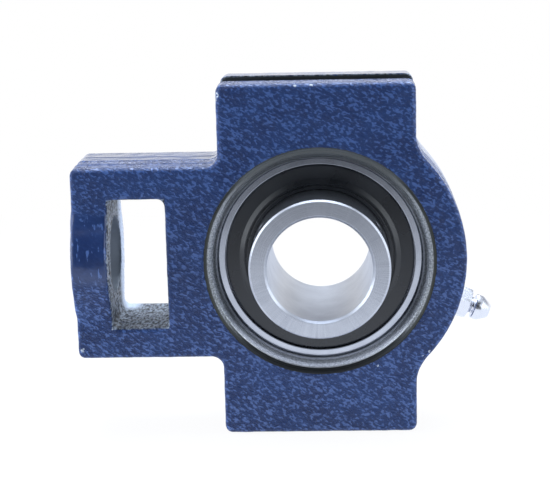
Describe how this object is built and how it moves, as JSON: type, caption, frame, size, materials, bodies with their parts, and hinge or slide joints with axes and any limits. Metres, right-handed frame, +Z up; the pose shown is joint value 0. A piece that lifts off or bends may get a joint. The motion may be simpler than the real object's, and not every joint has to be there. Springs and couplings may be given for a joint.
{
  "type": "take-up bearing unit",
  "caption": "Cast take-up bearing housing with guide grooves, adjusting slot and stud boss, holding a self-aligning insert ball bearing with a grease fitting.",
  "frame": {"origin": "middle of the lower guide groove's bottom face, straight below the bearing centre", "axes": "+X from the slotted tail to the round boss, along the guide rails; +Z up, out of the upper guide groove; the shaft runs along Y, with the long side of the inner ring towards -Y"},
  "size_m": [0.1019, 0.0361, 0.086],
  "materials": {
    "blue_paint": "glossy paint over fine cast grain",
    "ground_steel": "ground",
    "bright_steel": "polished",
    "dark_steel": "black oxide",
    "zinc_plate": "bright zinc plate",
    "black_rubber": "satin",
    "cage_nylon": "matte"
  },
  "bodies": {
    "casting": {"housing": "blue_paint", "grease_fitting": "zinc_plate", "fitting_spring": "dark_steel"},
    "aligning_ring": {"outer_ring": "ground_steel", "seal_front": "black_rubber", "seal_rear": "black_rubber"},
    "rotor": {"inner_ring": "ground_steel", "flinger_front": "black_rubber", "flinger_rear": "black_rubber"},
    "grub_1": {"grub_screw_1": "dark_steel"},
    "grub_2": {"grub_screw_2": "dark_steel"},
    "ball_cage": {"cage": "cage_nylon"},
    "roller_1": {"ball_1": "bright_steel"},
    "roller_2": {"ball_2": "bright_steel"},
    "roller_3": {"ball_3": "bright_steel"},
    "roller_4": {"ball_4": "bright_steel"},
    "roller_5": {"ball_5": "bright_steel"},
    "roller_6": {"ball_6": "bright_steel"},
    "roller_7": {"ball_7": "bright_steel"},
    "roller_8": {"ball_8": "bright_steel"},
    "roller_9": {"ball_9": "bright_steel"},
    "check_ball": {"fitting_ball": "bright_steel"}
  },
  "joints": [
    {"name": "alignment_tilt", "type": "hinge", "parent": "casting", "child": "aligning_ring", "pos_m": [0, 0, 0.038], "axis": [1, 0, 0], "range_deg": [-3, 3]},
    {"name": "shaft_spin", "type": "hinge", "parent": "aligning_ring", "child": "rotor", "pos_m": [0, 0, 0.038], "axis": [0, 1, 0], "continuous": true},
    {"name": "cage_spin", "type": "hinge", "parent": "aligning_ring", "child": "ball_cage", "pos_m": [0, 0, 0.038], "axis": [0, 1, 0], "continuous": true},
    {"name": "ball_roll_1", "type": "hinge", "parent": "ball_cage", "child": "roller_1", "pos_m": [0.01945, 0, 0.038], "axis": [0, 1, 0], "continuous": true},
    {"name": "ball_roll_2", "type": "hinge", "parent": "ball_cage", "child": "roller_2", "pos_m": [0.0149, 0, 0.0505], "axis": [0, 1, 0], "continuous": true},
    {"name": "ball_roll_3", "type": "hinge", "parent": "ball_cage", "child": "roller_3", "pos_m": [0.00338, 0, 0.05716], "axis": [0, 1, 0], "continuous": true},
    {"name": "ball_roll_4", "type": "hinge", "parent": "ball_cage", "child": "roller_4", "pos_m": [-0.00973, 0, 0.05485], "axis": [0, 1, 0], "continuous": true},
    {"name": "ball_roll_5", "type": "hinge", "parent": "ball_cage", "child": "roller_5", "pos_m": [-0.01828, 0, 0.04465], "axis": [0, 1, 0], "continuous": true},
    {"name": "ball_roll_6", "type": "hinge", "parent": "ball_cage", "child": "roller_6", "pos_m": [-0.01828, 0, 0.03135], "axis": [0, 1, 0], "continuous": true},
    {"name": "ball_roll_7", "type": "hinge", "parent": "ball_cage", "child": "roller_7", "pos_m": [-0.00973, 0, 0.02115], "axis": [0, 1, 0], "continuous": true},
    {"name": "ball_roll_8", "type": "hinge", "parent": "ball_cage", "child": "roller_8", "pos_m": [0.00338, 0, 0.01884], "axis": [0, 1, 0], "continuous": true},
    {"name": "ball_roll_9", "type": "hinge", "parent": "ball_cage", "child": "roller_9", "pos_m": [0.0149, 0, 0.0255], "axis": [0, 1, 0], "continuous": true},
    {"name": "grub_travel_1", "type": "slide", "parent": "rotor", "child": "grub_1", "axis": [0.866, 0, -0.5], "range_m": [-0.0015, 0.0008]},
    {"name": "grub_travel_2", "type": "slide", "parent": "rotor", "child": "grub_2", "axis": [-0.866, 0, -0.5], "range_m": [-0.0015, 0.0008]},
    {"name": "check_ball_lift", "type": "slide", "parent": "casting", "child": "check_ball", "axis": [-0.9336, 0, 0.3584], "range_m": [0, 0.001], "stiffness_N_per_m": 400, "springref_m": -0.001, "deforming": ["fitting_spring"]}
  ],
  "couplings": [
    {"joint": "cage_spin", "follows": "shaft_spin", "ratio": 0.39798},
    {"joint": "ball_roll_1", "follows": "shaft_spin", "ratio": -2.3485},
    {"joint": "ball_roll_2", "follows": "shaft_spin", "ratio": -2.3485},
    {"joint": "ball_roll_3", "follows": "shaft_spin", "ratio": -2.3485},
    {"joint": "ball_roll_4", "follows": "shaft_spin", "ratio": -2.3485},
    {"joint": "ball_roll_5", "follows": "shaft_spin", "ratio": -2.3485},
    {"joint": "ball_roll_6", "follows": "shaft_spin", "ratio": -2.3485},
    {"joint": "ball_roll_7", "follows": "shaft_spin", "ratio": -2.3485},
    {"joint": "ball_roll_8", "follows": "shaft_spin", "ratio": -2.3485},
    {"joint": "ball_roll_9", "follows": "shaft_spin", "ratio": -2.3485}
  ]
}
